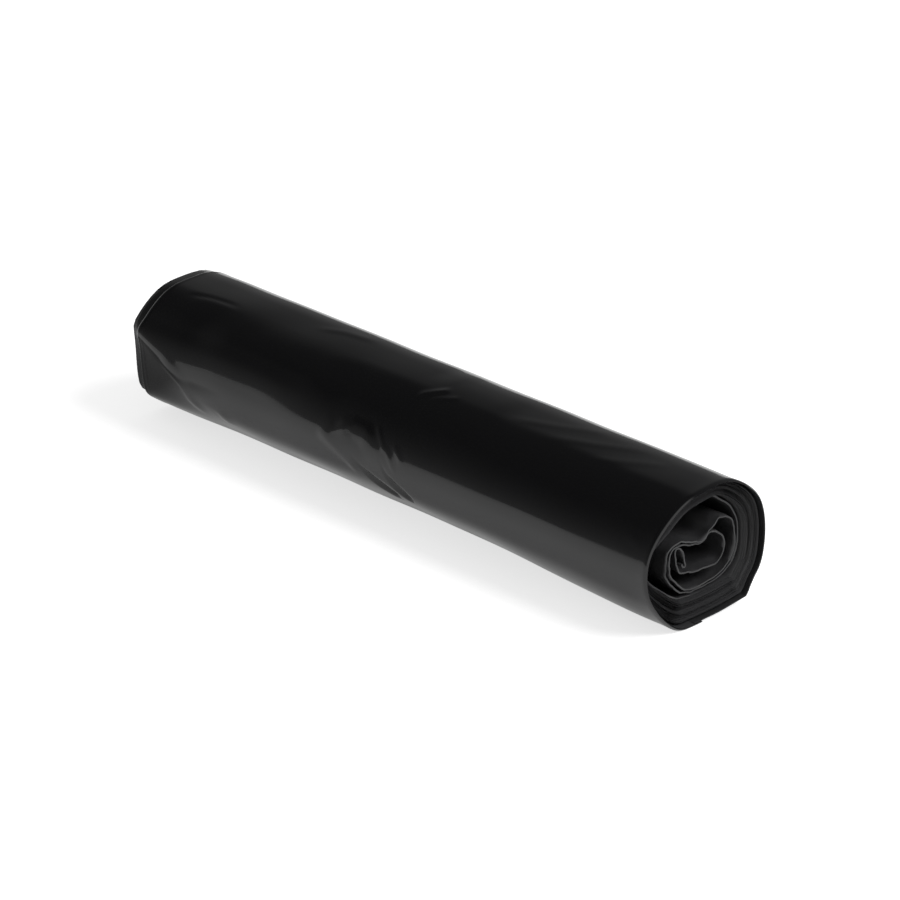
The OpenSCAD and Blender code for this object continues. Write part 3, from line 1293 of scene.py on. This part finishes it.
@dataclass(frozen=True)
class Studio:
    """White sweep, soft light and the camera at the photograph's angle.

    The camera and the diffuse light see even surroundings. Gloss sees a room that is dim in
    front and pale behind, with a soft light beside the near end and a window on the far
    left, so the film shows the white sweep below and the dim room along its side.

    Attributes:
        azimuth: How far the camera stands round from -Y towards +X, in degrees.
        elevation: How high it stands, in degrees.
        focal: Its focal length in the photograph's pixels.
        scale: Pixels for each millimetre at the roll's near end.
        near_pixel: Where the near end's middle is seen.
        near_middle: Where that is, in millimetres.
        image: The photograph's width and height in pixels.
        floor_half: Half the sweep's side, in metres.
        horizon: How bright the room in front is at the height of the roll.
        dark: How bright it is higher up.
        front_rise: Between which heights of the direction it darkens.
        backdrop: How bright the room behind is.
        behind: Where that starts along Y, and where it is full.
        softbox: How bright the soft light beside the near end is.
        beside: Where that starts along X, and where it is full.
        before: Where it starts along Y, and where it is full.
        window: How bright the window on the far left is.
        far_left: Where that starts along X, and where it is full.
        surround: How bright the room is below the roll.
        ambient: How bright the room is for diffuse light.
    """

    sweep: WhiteSweep
    azimuth: float = 46.1
    elevation: float = 23.8
    focal: float = 4759.0
    scale: float = 2.2328
    near_pixel: tuple = (706.5, 556.0)
    near_middle: tuple = (178.25, 0.0, 32.9)
    image: float = 900.0
    sensor: float = 36.0
    clip_end: float = 50
    floor_half: float = 4.0
    horizon: float = 0.27
    dark: float = 0.03
    front_rise: tuple = (0.0, 0.7)
    backdrop: float = 0.2
    behind: tuple = (0.33, 0.85)
    softbox: float = 1.05
    beside: tuple = (0.15, 0.45)
    before: tuple = (0.5, 0.2)
    window: float = 0.6
    far_left: tuple = (-0.87, -0.96)
    surround: float = 1.05
    ambient: float = 0.3
    lamp_size: float = 1.6
    lamp_power: float = 42
    lamp_place: tuple = (1.5, 0.7, 1.6)

    def camera(self) -> bpy.types.Object:
        """Places the camera."""
        turn, rise = math.radians(self.azimuth), math.radians(self.elevation)
        level = math.cos(rise)
        back = Vector((math.sin(turn) * level, -math.cos(turn) * level, math.sin(rise)))
        right = Vector((math.cos(turn), math.sin(turn), 0))
        up = back.cross(right)
        distance = self.focal / self.scale
        aside = (self.near_pixel[0] - self.image / 2) / self.scale
        down = (self.near_pixel[1] - self.image / 2) / self.scale
        place = Vector(self.near_middle) + distance * back - aside * right + down * up
        data = bpy.data.cameras.new("camera")
        data.sensor_width = self.sensor
        data.lens = self.focal / self.image * self.sensor
        data.clip_end = self.clip_end
        camera = put_in_scene("camera", data)
        axes = Matrix((right, up, back)).transposed().to_4x4()
        camera.matrix_world = Matrix.Translation(place * MM) @ axes
        bpy.context.scene.camera = camera
        return camera

    def floor(self) -> bpy.types.Object:
        """Lays the sweep under the roll."""
        mesh = bpy.data.meshes.new("sweep")
        half = self.floor_half
        corners = [(-half, -half, 0), (half, -half, 0), (half, half, 0), (-half, half, 0)]
        mesh.from_pydata(corners, [], [(0, 1, 2, 3)])
        mesh.materials.append(self.sweep.material())
        floor = put_in_scene("sweep", mesh)
        return floor

    def room(self, tree: bpy.types.NodeTree) -> bpy.types.NodeSocket:
        """Adds the nodes for the room that gloss sees.

        Args:
            tree: The world's tree.

        Returns:
            The socket of how bright each direction is.
        """
        way = tree.nodes.new("ShaderNodeSeparateXYZ")
        tree.links.new(add(tree, "ShaderNodeTexCoord", out="Generated"), way.inputs[0])
        low, high = self.front_rise
        above = add(
            tree, "ShaderNodeMapRange",
            {"Value": way.outputs["Z"], "From Min": low, "From Max": high,
             "To Min": self.horizon, "To Max": self.dark},
        )
        shares = {}
        for name, axis, (none, full) in (
            ("behind", "Y", self.behind), ("beside", "X", self.beside),
            ("before", "Y", self.before), ("far_left", "X", self.far_left),
        ):
            shares[name] = add(
                tree, "ShaderNodeMapRange",
                {"Value": way.outputs[axis], "From Min": none, "From Max": full},
                interpolation_type="SMOOTHSTEP",
            )
        shares["beside"] = add(
            tree, NUMBER, {0: shares["beside"], 1: shares["before"]}, operation="MULTIPLY"
        )
        shares["below"] = add(tree, NUMBER, {0: way.outputs["Z"], 1: 0.0}, operation="LESS_THAN")
        for name, brightness in (
            ("behind", self.backdrop), ("beside", self.softbox), ("far_left", self.window),
            ("below", self.surround),
        ):
            above = add(
                tree, "ShaderNodeMix", {"Factor": shares[name], "A": above, "B": brightness},
                data_type="FLOAT",
            )
        return above

    def world(self) -> None:
        """Makes the surroundings: white for the camera, even for matt things, a room for gloss."""
        world = bpy.data.worlds.new("studio")
        bpy.context.scene.world = world
        world.use_nodes = True
        tree = world.node_tree
        path = tree.nodes.new("ShaderNodeLightPath")
        soft = add(
            tree, "ShaderNodeMix",
            {"Factor": mirrored_rays(tree, path), "A": self.ambient, "B": self.room(tree)},
            data_type="FLOAT",
        )
        strength = add(
            tree, "ShaderNodeMix",
            {"Factor": path.outputs["Is Camera Ray"], "A": soft, "B": 1.0}, data_type="FLOAT",
        )
        back = tree.nodes["Background"]
        back.inputs["Color"].default_value = linear(WHITE)
        tree.links.new(strength, back.inputs["Strength"])

    def lamp(self) -> bpy.types.Object:
        """Hangs the soft lamp that gives the roll its shadow."""
        data = bpy.data.lights.new("overhead_softbox", "AREA")
        data.shape = "DISK"
        data.size = self.lamp_size
        data.energy = self.lamp_power
        lamp = put_in_scene("overhead_softbox", data)
        lamp.location = self.lamp_place
        lamp.rotation_euler = (-lamp.location).to_track_quat("-Z", "Y").to_euler()
        lamp.visible_glossy = False
        return lamp

    def build(self) -> None:
        """Sets up the whole studio."""
        self.camera()
        self.floor()
        self.world()
        self.lamp()
        bpy.context.scene.view_settings.view_transform = "Standard"
        LOG.info("studio: camera %.0f degrees round and %.0f up", self.azimuth, self.elevation)


def main() -> None:
    """Builds the roll and the studio."""
    logging.basicConfig(level=logging.INFO, format="%(name)s: %(message)s")
    # The crumpled film is the same black film: its lighter black is painted sheen, for the light
    # its creases catch; its roughness and puckers are real.
    crumpled = PolyethyleneFilm(
        name="crumpled_film_painted_sheen", black="#2e2e2f", roughness=0.4, haze_roughness=0.58,
        pucker_size=9.0, pucker_height=0.25,
    )
    FilmRoll(PolyethyleneFilm(), crumpled).build()
    Studio(WhiteSweep()).build()


if __name__ == "__main__":
    main()
